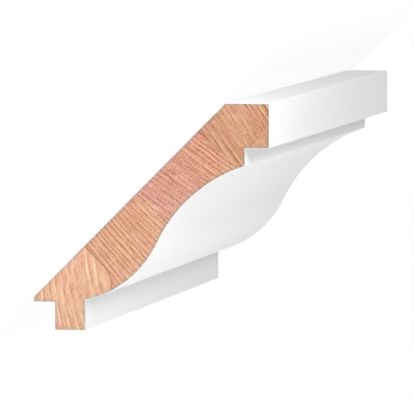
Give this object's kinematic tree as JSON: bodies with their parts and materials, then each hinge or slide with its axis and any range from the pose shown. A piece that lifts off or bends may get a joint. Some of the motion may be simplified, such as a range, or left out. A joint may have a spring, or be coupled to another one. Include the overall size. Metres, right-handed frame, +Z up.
{
  "type": "moulded fascia board",
  "caption": "Short length of primed softwood fascia moulding with a crown profile, a stepped head, a sloping back and a rebated foot, sawn square at both ends.",
  "frame": {"origin": "centre of the bounding box on the ground plane: the board lies on its sloping back with the moulded face up", "axes": "+Y along the board's length, away from the end that the picture shows; +Z up, out of the moulded face; +X from the fascia and the top edge towards the tongue and the toe"},
  "size_m": [0.1394, 0.3, 0.0278],
  "materials": {
    "white_primer": "matte",
    "end_grain": "matte"
  },
  "bodies": {
    "root": {"cornice_moulding": "white_primer"}
  },
  "joints": []
}
